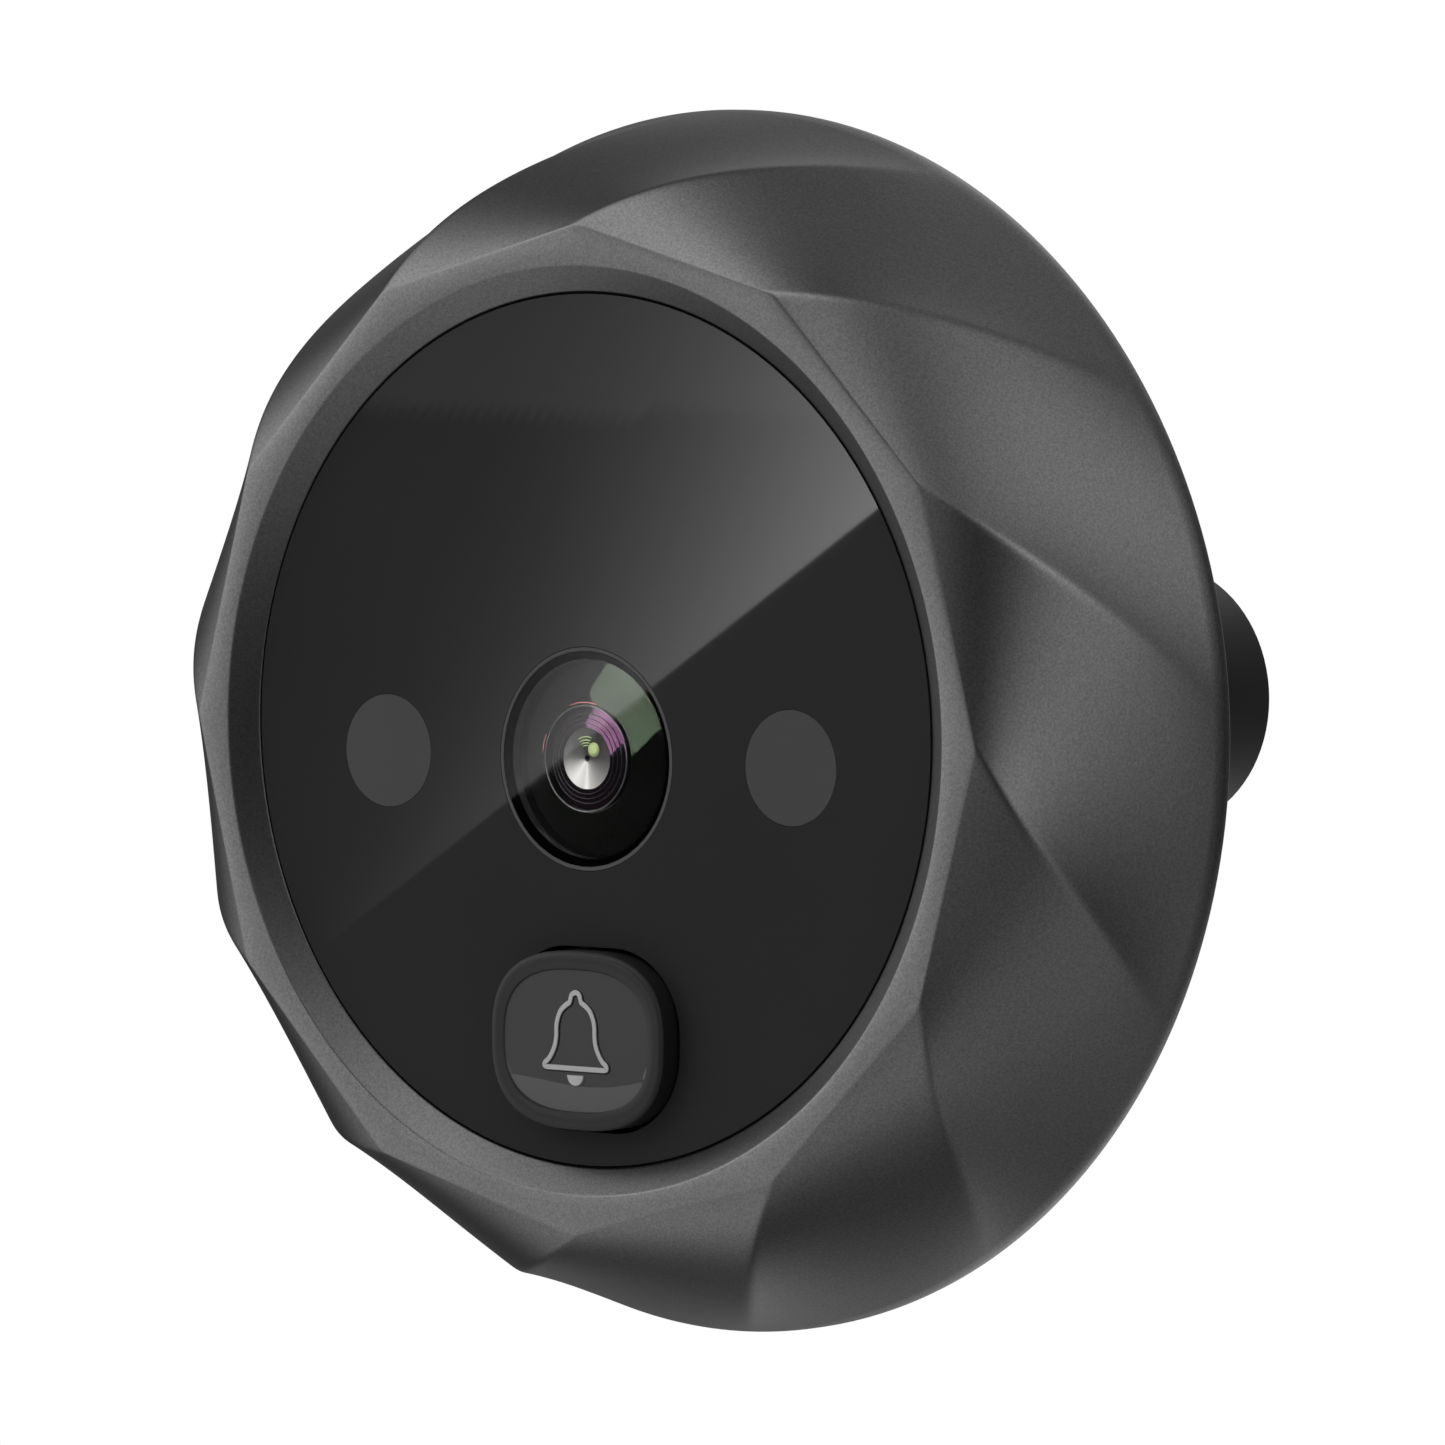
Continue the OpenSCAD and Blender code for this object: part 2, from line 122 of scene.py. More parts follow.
def ring_faces(rings, columns, close_rings=True):
    faces = []
    for i in range(rings if close_rings else rings - 1):
        a, b = i * columns, (i + 1) % rings * columns
        for c in range(columns):
            n = (c + 1) % columns
            faces.append((a + c, a + n, b + n, b + c))
    return faces


def turned(name, profile, x=0.0, z=0.0, columns=128, body="housing", sharp_over=30.0):
    """A solid whose profile of (radius, y) pairs runs round and closes on itself."""
    points = []
    for r, y in profile:
        for c in range(columns):
            a = 2 * math.pi * c / columns
            points.append((x + r * math.cos(a), y, z + r * math.sin(a)))
    return mesh_piece(name, points, ring_faces(len(profile), columns), body, sharp_over)


def arc(cx, cy, r, start, end, steps):
    """Points of (radius, y) on a circle in the profile's plane, from one angle to another."""
    out = []
    for i in range(steps + 1):
        a = math.radians(start + (end - start) * i / steps)
        out.append((cx + r * math.cos(a), cy + r * math.sin(a)))
    return out


# %% [markdown]
# ## Helpers for finishes
#
# A real surface is never one flat colour: paint has grain, moulded plastic has a spark texture,
# turned metal has rings. `finish` builds one Principled material in which a broad noise shifts the
# colour and the roughness a little, and a fine noise makes the grain as a bump. The noises use
# Object coordinates, so the grain has a true size in metres and needs no UV map. Values that are
# the same all over go straight on the shader's sockets, where an exporter can find them.

# %% Finish helper
def link(tree, a, out, b, into):
    tree.links.new(a.outputs[out], b.inputs[into])


def finish(
    name,
    dark,
    light,
    rough,
    metallic=0.0,
    patch_mm=6.0,
    grain_mm=0.1,
    grain_height_mm=0.004,
    grain_strength=0.3,
    **sockets,
):
    """A Principled material: colour dark..light in patches, roughness rough[0]..rough[1], grain."""
    material = bpy.data.materials.new(name)
    material.use_nodes = True
    tree = material.node_tree
    shader = tree.nodes["Principled BSDF"]
    place = tree.nodes.new("ShaderNodeTexCoord")
    patches = tree.nodes.new("ShaderNodeTexNoise")
    patches.inputs["Scale"].default_value = 1 / (patch_mm * MM)
    patches.inputs["Detail"].default_value = 4.0
    link(tree, place, "Object", patches, "Vector")
    colours = tree.nodes.new("ShaderNodeValToRGB")
    colours.color_ramp.elements[0].position = 0.3
    colours.color_ramp.elements[1].position = 0.7
    colours.color_ramp.elements[0].color = (*dark, 1.0)
    colours.color_ramp.elements[1].color = (*light, 1.0)
    link(tree, patches, "Fac", colours, "Fac")
    link(tree, colours, "Color", shader, "Base Color")
    spread = tree.nodes.new("ShaderNodeMapRange")
    spread.inputs["To Min"].default_value = rough[0]
    spread.inputs["To Max"].default_value = rough[1]
    grain = tree.nodes.new("ShaderNodeTexNoise")
    grain.inputs["Scale"].default_value = 1 / (grain_mm * MM)
    grain.inputs["Detail"].default_value = 2.0
    link(tree, place, "Object", grain, "Vector")
    link(tree, grain, "Fac", spread, "Value")
    link(tree, spread, "Result", shader, "Roughness")
    bump = tree.nodes.new("ShaderNodeBump")
    bump.inputs["Strength"].default_value = grain_strength
    bump.inputs["Distance"].default_value = grain_height_mm * MM
    link(tree, grain, "Fac", bump, "Height")
    link(tree, bump, "Normal", shader, "Normal")
    shader.inputs["Metallic"].default_value = metallic
    for socket, value in sockets.items():
        shader.inputs[socket.replace("_", " ")].default_value = value
    return material


def grey(value, warm=0.0):
    return (value + warm, value, value - warm)


def dress(piece, material):
    """Puts one material in every slot of a piece, and gives a piece without slots one."""
    if not piece.material_slots:
        piece.data.materials.append(material)
    for held in piece.material_slots:
        held.material = material
    return piece

# %% [markdown]
# ## The bezel's swirled skin
#
# The bezel is a casting whose front edge is a twelve-sided polygon and whose back edge is a plain
# circle. Each corner of the polygon runs back as a ridge that turns as it goes, so the facets
# twist. It could be sculpted, or cut with a Boolean from twelve planes, but the facets aren't
# planes. So the skin is computed: every point has a share u of the way from the front (0) to the
# rim (1) and an angle round the axis, and the polygon is blended into the circle as u grows. The
# same numbers as in the CAD model are used, on a much finer grid, with softened corners and edges.

# %% Bezel numbers
rim_low, rim_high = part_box("front_bezel")
RIM_R = rim_high.x / MM
FRONT_Y = rim_low.y / MM
PANEL_LOW, PANEL_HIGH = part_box("front_panel")
PANEL_R = PANEL_HIGH.x / MM
PANEL_Y = PANEL_LOW.y / MM
COVER_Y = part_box("rear_cover")[0].y / MM

SIDES = 12
FRONT_R = 23.1
RIM_EDGE = 0.6
RIDGE_TURN = 27.4
CORNER_SOFT = 1.3
CONE_R = 21.25
POCKET_R = PANEL_R + 0.1
print("rim radius", round(RIM_R, 2), "front", round(FRONT_Y, 2), "panel radius", round(PANEL_R, 2))


def skin_depth(u):
    return FRONT_Y + (-FRONT_Y - RIM_EDGE) * (0.21 * u + 0.3 * u * u + 0.49 * u**3)


def skin_turn(u):
    return -RIDGE_TURN * (0.895 * u - 0.35 * u * u + 0.455 * u**3)


def polygon_share(across, soft):
    """Radius of a twelve-sided polygon with softened corners, as a share of its corner radius."""
    half = math.radians(180 / SIDES)
    apothem = math.cos(half)
    centre = (apothem - soft) / apothem
    from_corner = half - abs(across)
    reach = math.atan2(soft * math.sin(half), centre + soft * math.cos(half))
    if from_corner >= reach:
        return apothem / math.cos(across)
    return centre * math.cos(from_corner) + math.sqrt(
        soft * soft - (centre * math.sin(from_corner)) ** 2
    )


# %% [markdown]
# The columns of the grid crowd towards each corner, where the surface bends, and the rows crowd
# towards the front edge. The rings behind the skin close the casting: rim, rear recess, seal
# groove, the cavity, the ledge that carries the panel, and the sloping ring round the panel.

# %% Bezel mesh
COLUMNS_PER_SIDE = 28
ROWS = 56


def column_angles():
    """(angle of the facet's middle, angle across the facet) for every column, clockwise."""
    for side in range(SIDES):
        for k in range(COLUMNS_PER_SIDE):
            across = math.sin(math.pi * (k / COLUMNS_PER_SIDE - 0.5)) * math.radians(15)
            yield math.radians(90 - 15 - 30 * side), across


def skin_ring(u, depth=None, inset=0.0):
    flat = 1 - u**3
    turn = math.radians(skin_turn(u))
    base = FRONT_R + (RIM_R - FRONT_R) * u - inset
    y = skin_depth(u) if depth is None else depth
    ring = []
    for middle, across in column_angles():
        r = base * (1 + (polygon_share(across, CORNER_SOFT / FRONT_R) - 1) * flat)
        a = middle - across + turn
        ring.append((r * math.cos(a), y, r * math.sin(a)))
    return ring


def round_ring(r, y, turn_u):
    turn = math.radians(skin_turn(turn_u))
    return [
        (r * math.cos(m - a + turn), y, r * math.sin(m - a + turn)) for m, a in column_angles()
    ]


rows = [skin_ring(0, FRONT_Y, 0.16), skin_ring(0, FRONT_Y + 0.012, 0.06)]
rows += [skin_ring(0.008 + 0.992 * (i / ROWS) ** 1.15) for i in range(ROWS + 1)]
rim_profile = arc(RIM_R - 0.1, -0.1, 0.1, 0, 90, 4)
cone_profile = [
    (26.2, 0.0), (26.2, COVER_Y), (21.9, COVER_Y), (21.9, COVER_Y - 0.8), (21.0, COVER_Y - 0.8),
    (21.0, COVER_Y), (20.3, COVER_Y), (20.3, -8.4), (18.9, -8.4), (18.9, -9.4), (POCKET_R, -9.4),
]
rows += [round_ring(r, y, 1) for r, y in rim_profile + cone_profile]
mouth = [
    (POCKET_R, PANEL_Y + 0.06), (POCKET_R + 0.02, PANEL_Y), (POCKET_R + 0.07, PANEL_Y - 0.05),
    (CONE_R - 0.06, FRONT_Y + 0.06), (CONE_R, FRONT_Y + 0.018), (CONE_R + 0.08, FRONT_Y),
]
rows += [round_ring(r, y, 0) for r, y in mouth]
bezel = mesh_piece(
    "bezel_casting",
    [p for ring in rows for p in ring],
    ring_faces(len(rows), SIDES * COLUMNS_PER_SIDE),
    sharp_over=40.0,
)
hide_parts("front_bezel")
print("bezel faces", len(bezel.data.polygons))

# %% [markdown]
# ## The bezel's coat
#
# The casting is powder coated in charcoal with a satin finish. The coat hides the metal, but its
# flakes give it a wide, soft sheen, so the shader is partly metallic with a medium roughness. Its
# grain is about a tenth of a millimetre and only shows where the light grazes.

# %% Bezel coat
bezel_coat = finish(
    "bezel_coat", grey(0.268), grey(0.296), (0.31, 0.35), metallic=1.0, patch_mm=9.0,
    grain_mm=0.12, grain_height_mm=0.006, grain_strength=0.35,
)
dress(bezel, bezel_coat)


def speckle(material, size_mm, low, high):
    """Fine flakes: a small noise that scales the colour between low and high."""
    tree = material.node_tree
    shader = tree.nodes["Principled BSDF"]
    colour = shader.inputs["Base Color"].links[0].from_socket
    place = tree.nodes.new("ShaderNodeTexCoord")
    flakes = tree.nodes.new("ShaderNodeTexNoise")
    flakes.inputs["Scale"].default_value = 1 / (size_mm * MM)
    flakes.inputs["Detail"].default_value = 1.0
    link(tree, place, "Object", flakes, "Vector")
    span = tree.nodes.new("ShaderNodeMapRange")
    for socket, value in zip(("From Min", "From Max", "To Min", "To Max"), (0.3, 0.7, low, high)):
        span.inputs[socket].default_value = value
    link(tree, flakes, "Fac", span, "Value")
    scaled = tree.nodes.new("ShaderNodeVectorMath")
    scaled.operation = "SCALE"
    tree.links.new(colour, scaled.inputs[0])
    link(tree, span, "Result", scaled, "Scale")
    link(tree, scaled, "Vector", shader, "Base Color")


speckle(bezel_coat, 0.11, 0.84, 1.16)
# The sloping ring round the panel gets a darker copy of the bezel's coat, which paints the shade of that
# recess.
cone_shaded_coat = finish(
    "cone_shaded_coat", grey(0.22), grey(0.24), (0.33, 0.37), metallic=1.0, patch_mm=9.0,
    grain_mm=0.12, grain_height_mm=0.006, grain_strength=0.35,
)
bezel.data.materials.append(cone_shaded_coat)
cone_faces = 0
for polygon in bezel.data.polygons:
    middle = polygon.center / MM
    if math.hypot(middle.x, middle.z) < CONE_R and middle.y < PANEL_Y + 0.05:
        polygon.material_index = 1
        cone_faces += 1
print("faces of the sloping ring", cone_faces)
speckle(cone_shaded_coat, 0.11, 0.84, 1.16)

# %% [markdown]
# ## Finishes for the CAD pieces
#
# Most pieces inside the unit and behind it already have the right shape, so they keep their CAD
# mesh and get a finish. Each line of the table is one of the record's material slots: dark and
# light colour, roughness range, and how metallic it is, with the size of its grain.

# %% Finishes by slot
FINISHES = {
    "cover_coat": dict(dark=grey(0.07), light=grey(0.085), rough=(0.4, 0.5), metallic=0.5),
    "barrel_coat": dict(dark=grey(0.046), light=grey(0.057), rough=(0.42, 0.5), metallic=0.5),
    "ring_coat": dict(dark=grey(0.11), light=grey(0.14), rough=(0.35, 0.45), metallic=0.4),
    "black_rubber": dict(dark=grey(0.02), light=grey(0.03), rough=(0.7, 0.85), grain_mm=0.2),
    "black_moulding": dict(dark=grey(0.012), light=grey(0.02), rough=(0.5, 0.65)),
    "foam": dict(
        dark=grey(0.012), light=grey(0.03), rough=(0.85, 0.95), grain_mm=0.35,
        grain_height_mm=0.06, grain_strength=0.8,
    ),
    "dark_steel": dict(dark=grey(0.16), light=grey(0.22), rough=(0.3, 0.42), metallic=1.0),
    "bright_steel": dict(dark=grey(0.5), light=grey(0.62), rough=(0.22, 0.34), metallic=1.0),
    "adhesive_tape": dict(dark=grey(0.02), light=grey(0.03), rough=(0.6, 0.8), grain_mm=0.3),
    "lens_black": dict(dark=grey(0.002), light=grey(0.004), rough=(0.35, 0.5)),
    "stop_black": dict(dark=grey(0.002), light=grey(0.004), rough=(0.7, 0.8)),
    "sensor": dict(dark=(0.02, 0.02, 0.04), light=(0.05, 0.04, 0.07), rough=(0.1, 0.2)),
    "smoked_window": dict(
        dark=grey(0.083), light=grey(0.091), rough=(0.4, 0.45), grain_height_mm=0.001,
    ),
    "lamp_epoxy": dict(
        dark=(0.3, 0.28, 0.36), light=(0.36, 0.33, 0.42), rough=(0.08, 0.14),
        Transmission_Weight=0.7,
    ),
    "silicone": dict(dark=grey(0.22), light=grey(0.28), rough=(0.5, 0.6)),
    "switch_cap": dict(dark=(0.5, 0.45, 0.33), light=(0.6, 0.55, 0.4), rough=(0.4, 0.5)),
    "spring_steel": dict(dark=grey(0.5), light=grey(0.6), rough=(0.2, 0.3), metallic=1.0),
    "board_green": dict(dark=(0.01, 0.07, 0.04), light=(0.015, 0.1, 0.06), rough=(0.25, 0.4)),
    "chip_black": dict(dark=grey(0.015), light=grey(0.025), rough=(0.5, 0.6), grain_mm=0.15),
    "socket_nylon": dict(
        dark=(0.62, 0.58, 0.46), light=(0.72, 0.69, 0.58), rough=(0.4, 0.5),
        Subsurface_Weight=0.15, Subsurface_Radius=(MM, 0.8 * MM, 0.5 * MM),
    ),
    "filter_glass": dict(
        dark=(0.4, 0.7, 0.74), light=(0.46, 0.78, 0.8), rough=(0.02, 0.04), IOR=1.5,
        Transmission_Weight=0.9,
    ),
    "panel_gloss": dict(
        dark=grey(0.058), light=grey(0.063), rough=(0.01, 0.015), patch_mm=14.0,
        grain_mm=2.0, grain_height_mm=0.0001, grain_strength=0.05,
    ),
    "clear_glass": dict(
        dark=grey(0.96), light=grey(0.98), rough=(0.012, 0.016), IOR=1.49,
        grain_mm=2.0, grain_height_mm=0.0001, grain_strength=0.02, Transmission_Weight=1.0,
    ),
}
finishes = {slot: finish(slot, **values) for slot, values in FINISHES.items()}
slot_of = {part["node"]: part["material_slot"] for part in frame["record"]["subparts"]}
for name, node in frame["nodes"].items():
    if slot_of[name] in finishes:
        dress(node, finishes[slot_of[name]])
        node.data.shade_smooth()
print("CAD pieces dressed:", sum(slot_of[n] in finishes for n in frame["nodes"]))

# %% [markdown]
# ## The bell button
#
# The button is one moulded cap. Its outline is neither an ellipse nor a rectangle but something
# between, a superellipse, which is easy to compute and hard to draw. The cap is lofted: the same
# outline is repeated at several sizes and depths, from the crowned face, over a small step and a
# sloping border, round the edge and down the wall. A bevelled box would give the wall, but not the
# gentle crown that makes the light slide over the face.

# %% Button numbers
cap_low, cap_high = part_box("bell_button")
BUTTON_Z = (cap_low.z + cap_high.z) / 2 / MM
BUTTON_Y = cap_low.y / MM
BUTTON_HALF_H = (cap_high.z - cap_low.z) / 2 / MM
LUG_W = 0.9
BUTTON_X = (cap_low.x + cap_high.x) / 2 / MM
BUTTON_HALF_W = (cap_high.x - cap_low.x) / 2 / MM - LUG_W
STEM_BACK = cap_high.y / MM
CAP_BACK = -9.1
SQUARENESS = 2.65
print("button", round(2 * BUTTON_HALF_W, 2), "x", round(2 * BUTTON_HALF_H, 2))
print("centre", round(BUTTON_X, 2), round(BUTTON_Z, 2))


def button_ring(half_w, half_h, y, columns=144, squareness=SQUARENESS):
    ring = []
    for c in range(columns):
        a = 2 * math.pi * c / columns
        ca, sa = math.cos(a), math.sin(a)
        share = (abs(ca) ** squareness + abs(sa) ** squareness) ** (-1 / squareness)
        ring.append((BUTTON_X + half_w * share * ca, y, BUTTON_Z + half_h * share * sa))
    return ring


# %% Button cap
FACE_HALF_W = 4.28
FACE_HALF_H = 3.24
FACE_SINK = 0.07
ROLL = 0.0147
FACE_RINGS = 30


def thumb_drop(x, z):
    """How far the face rolls away below a shallow curve near its lower edge."""
    line = -1.4 + 0.45 * (abs(x + 0.3) / 4.0) ** 1.6 - 0.1 * math.sin(0.75 * x)
    return ROLL * max(0.0, line - z) ** 2


cap_rings = []
for i in range(FACE_RINGS + 1):
    share = max(0.004, i / FACE_RINGS)
    ring = button_ring(FACE_HALF_W * share, FACE_HALF_H * share, BUTTON_Y + FACE_SINK)
    cap_rings.append([(x, y + thumb_drop(x - BUTTON_X, z - BUTTON_Z), z) for x, y, z in ring])
border = [
    (0.82, 0.07), (0.79, 0.01), (0.76, 0.0), (0.25, 0.0), (0.16, 0.012), (0.08, 0.045),
    (0.025, 0.1), (0.0, 0.18), (0.0, 0.3), (0.0, CAP_BACK - BUTTON_Y),
]
cap_rings += [
    button_ring(BUTTON_HALF_W - inset, BUTTON_HALF_H - inset, BUTTON_Y + drop)
    for inset, drop in border
]
cap_rings.append(button_ring(1.3, 1.3, CAP_BACK, squareness=2.0))
cap_rings.append(button_ring(1.3, 1.3, STEM_BACK, squareness=2.0))
cap_rings.append(button_ring(0.02, 0.02, STEM_BACK, squareness=2.0))
cap = mesh_piece(
    "button_cap",
    [p for ring in cap_rings for p in ring],
    ring_faces(len(cap_rings), 144),
    "bell_button",
    sharp_over=40.0,
)
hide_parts("bell_button")
print("cap faces", len(cap.data.polygons))

# %% [markdown]
# The bell is a bead of light grey plastic that stands a hair proud of the cap. It is drawn as a
# path: half of its outline is listed from the loop on the crown down to the lip, mirrored and
# smoothed with a Catmull-Rom spline, and a flat-topped section is swept along it. A Curve with a
# bevel would do it too, but its round bead catches light along one side only. The clapper is a
# half disc.

# %% Bell
BELL_HALF = [
    (0.0, 2.22), (0.22, 2.12), (0.29, 1.94), (0.36, 1.76), (0.62, 1.6), (0.88, 1.36),
    (1.05, 1.02), (1.13, 0.66), (1.14, 0.25), (1.2, -0.15), (1.37, -0.55), (1.6, -0.88),
    (1.8, -1.04), (1.86, -1.16), (1.74, -1.25), (1.2, -1.26),
]
BELL_LINE = 0.25


def smooth_loop(points, steps=6):
    out = []
    n = len(points)
    for i in range(n):
        p0, p1, p2, p3 = (points[(i + k) % n] for k in (-1, 0, 1, 2))
        for s in range(steps):
            t = s / steps
            out.append(
                tuple(
                    0.5 * (2 * b + (c - a) * t + (2 * a - 5 * b + 4 * c - d) * t * t
                           + (3 * b - a - 3 * c + d) * t**3)
                    for a, b, c, d in zip(p0, p1, p2, p3)
                )
            )
    return out


bell_loop = smooth_loop(BELL_HALF + [(-x, z) for x, z in reversed(BELL_HALF[1:])])
BELL_Y = BUTTON_Y + FACE_SINK
BELL_RAISE = 0.06


def sweep_bell(name, width, proud, shift):
    """A flat-topped section swept round the bell's path, standing proud of the face."""
    half, edge = width / 2, 0.4 * proud
    section = [
        (-half, 0.1), (-half, edge - proud), (edge - half, -proud),
        (half - edge, -proud), (half, edge - proud), (half, 0.1),
    ]
    points = []
    for i, (x, z) in enumerate(bell_loop):
        ahead, behind = bell_loop[(i + 1) % len(bell_loop)], bell_loop[i - 1]
        along = Vector((ahead[0] - behind[0], ahead[1] - behind[1])).normalized()
        points += [
            (BUTTON_X + x + shift + along.y * side, BELL_Y + depth,
             BUTTON_Z + z - shift / 2 - along.x * side)
            for side, depth in section
        ]
    return mesh_piece(name, points, ring_faces(len(bell_loop), len(section)), "bell_button")


bell = sweep_bell("bell_line", BELL_LINE, BELL_RAISE, 0.0)
# The bell moat is a thin black strip set a little to the right of the bell line: a painted shadow of the
# raised bell.
bell_shadow = sweep_bell("bell_painted_shadow", BELL_LINE + 0.06, 0.012, 0.045)
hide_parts("bell_inlay")

half_disc = [(0.5 * math.cos(a), 0.5 * math.sin(a)) for a in
             (math.pi + math.pi * i / 32 for i in range(33))]
clapper_points, clapper_rings = [], [(1.0, 0.06), (1.0, -0.04), (0.93, -0.07), (0.05, -0.08)]
for share, rise in clapper_rings:
    clapper_points += [
        (BUTTON_X + x * share, BELL_Y + rise, BUTTON_Z - 1.56 - 0.22 + (z + 0.22) * share)
        for x, z in half_disc
    ]
clapper_faces = ring_faces(4, 33, close_rings=False)
clapper_faces += [tuple(range(33)), tuple(reversed(range(99, 132)))]
clapper = mesh_piece("bell_clapper", clapper_points, clapper_faces, "bell_button")
print("bell path points", len(bell_loop))

# %% Button finishes
button_gloss = finish(
    "button_gloss", grey(0.064), grey(0.072), (0.2, 0.26), patch_mm=8.0, grain_mm=0.6,
    grain_height_mm=0.0002, grain_strength=0.05, Specular_IOR_Level=0.2,
)
button_face = finish(
    "button_face", grey(0.145), grey(0.158), (0.015, 0.02), patch_mm=8.0, grain_mm=2.0,
    grain_height_mm=0.0001, grain_strength=0.02,
)
bell_light = finish(
    "bell_light", grey(0.68), grey(0.74), (0.3, 0.38), metallic=0.6, grain_mm=0.08,
    grain_height_mm=0.001,
)
dress(cap, button_gloss)
cap.data.materials.append(button_face)
cap.data.materials.append(finishes["black_moulding"])
for polygon in cap.data.polygons:
    ring = polygon.index // 144
    if ring < FACE_RINGS:
        polygon.material_index = 1
    # The cap's side wall below the border and the stem take the black moulding, which paints the shade on
    # that wall.
    elif ring >= FACE_RINGS + len(border) - 2:
        polygon.material_index = 2
dress(bell, bell_light)
dress(bell_shadow, finishes["stop_black"])
dress(clapper, bell_light)

# %% [markdown]
# ## The camera lens
#
# Behind the flat window sits a wide-angle lens. What shows of it is black, with three things in
# it: fine bright rings where the barrel holds the glasses, a small spun cone round the pupil, and
# coloured glints. Each coated surface is a convex ring or dome of its own, nearly black, with a
# tinted specular, so the softbox shows in it as a tinted glint that moves with the view. The thin
# rose and lime arcs and the lime spot don't move: they are small pieces of tinted metal that stand
# in for reflections.

# %% Lens numbers
lens_low, lens_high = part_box("lens_barrel")
LENS_Z = (lens_low.z + lens_high.z) / 2 / MM
LENS_Y = lens_low.y / MM
LENS_BACK = lens_high.y / MM
# The inner glasses sit this far to the left of the window's centre
INNER_X = -0.22
print("lens axis z", round(LENS_Z, 2), "front", round(LENS_Y, 2))


def dome(r_in, r_out, y_in, radius, steps=10):
    """Points of a convex surface whose slope is that of a ball round the lens axis."""
    rs = [r_in + (r_out - r_in) * i / steps for i in range(steps + 1)]
    return [(r, y_in + (r * r - r_in * r_in) / (2 * radius)) for r in rs]


# %% Lens pieces
OUTER_RADIUS = 18.0
INNER_RADIUS = 9.5
outer_glass = turned(
    "outer_glass", dome(2.5, 4.55, LENS_Y - 0.03, OUTER_RADIUS) + [(4.55, -9.92), (2.5, -9.92)], z=LENS_Z,
    columns=160,
)
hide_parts("lens_front_element")
inner_glass = turned(
    "inner_glass", dome(1.44, 2.36, LENS_Y - 0.02, INNER_RADIUS) + [(2.36, -9.9), (1.44, -9.9)],
    x=INNER_X, z=LENS_Z, columns=128,
)
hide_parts("lens_rear_element")
lens_tube = turned(
    "lens_tube",
    [
        (2.37, LENS_Y + 0.2), (2.49, LENS_Y + 0.2), (2.49, -9.9), (4.3, -9.9), (4.3, -9.75),
        (3.5, -9.75), (3.5, LENS_BACK), (2.2, LENS_BACK), (2.2, -8.65), (1.6, -8.65),
        (1.6, -9.35), (2.37, -9.35),
    ],
    z=LENS_Z,
)
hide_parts("lens_barrel")


def bead(name, r, y, thick):
    """A thin bright ring round the inner glasses."""
    profile = arc(r, y, thick, 0, 330, 11)
    return turned(name, profile, x=INNER_X, z=LENS_Z, columns=160, sharp_over=80.0)


trim_rings = [
    bead("trim_ring_outer", 2.43, LENS_Y - 0.015, 0.033),
    bead("trim_ring_inner", 2.06, LENS_Y + 0.09, 0.026),
    bead("trim_ring_third", 1.84, LENS_Y + 0.045, 0.02),
    bead("trim_ring_fourth", 1.62, LENS_Y + 0.01, 0.02),
]
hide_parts("lens_retainer")
iris = turned(
    "iris_cone",
    [(0.15, LENS_Y + 0.09), (0.75, LENS_Y + 0.07), (1.4, LENS_Y + 0.05), (1.4, -9.9), (0.15, -9.9)],
    x=INNER_X, z=LENS_Z, columns=160,
)
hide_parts("lens_aperture")


def glint(name, r, start, end, y, thick):
    """A bead that runs part of the way round the lens axis, and thins out at both ends."""
    steps, sides = 20, 8
    points = []
    for i in range(steps + 1):
        a = math.radians(start + (end - start) * i / steps)
        t = thick * max(0.15, 1 - abs(2 * i / steps - 1) ** 6)
        for s in range(sides):
            b = 2 * math.pi * s / sides
            out = r + t * math.cos(b)
            points.append(
                (INNER_X + out * math.cos(a), y + t * math.sin(b), LENS_Z + out * math.sin(a))
            )
    faces = ring_faces(steps + 1, sides, close_rings=False)
    faces += [tuple(range(sides)), tuple(range(steps * sides + sides - 1, steps * sides - 1, -1))]
    return mesh_piece(name, points, faces, sharp_over=80.0)


rose_glints = [
    glint("rose_glint_upper", 2.58, 74, 112, LENS_Y - 0.045, 0.035),
    glint("rose_glint_left", 2.56, 155, 176, LENS_Y - 0.045, 0.035),
]
lime_glints = [
    glint(f"lime_glint_{i + 1}", r, 97 - span, 97 + span, LENS_Y + 0.035 + 0.01 * i, 0.024)
    for i, (r, span) in enumerate([(1.0, 25), (0.85, 24), (0.72, 22), (0.6, 18)])
]
lime_glints.append(
    turned(
        "lime_glint_spot",
        [(0.01, LENS_Y - 0.02), (0.12, LENS_Y - 0.015), (0.22, LENS_Y + 0.0), (0.3, LENS_Y + 0.03),
         (0.34, LENS_Y + 0.075), (0.01, LENS_Y + 0.075)],
        x=INNER_X + 0.4, z=LENS_Z + 0.42, columns=48, sharp_over=80.0,
    )
)
print("lens pieces", 8 + len(rose_glints) + len(lime_glints))

# %% [markdown]
# ## Lens finishes
#
# The coated glasses are nearly black with a tinted reflection. The iris cone is spun metal, whose
# turning marks would spread the light into a sweep; here that sweep is a painted highlight in its
# colour, a colour ramp driven by the angle round the lens axis. The angle comes from a Gradient
# Texture in radial mode, in Object coordinates moved to the lens axis.

# %% Lens materials
def coating(name, tint, level, rough=(0.02, 0.04)):
    return finish(
        name, grey(0.001), grey(0.002), rough, patch_mm=3.0, grain_mm=1.0,
        grain_height_mm=0.0001, grain_strength=0.02,
        Specular_Tint=(*tint, 1.0), Specular_IOR_Level=level,
    )


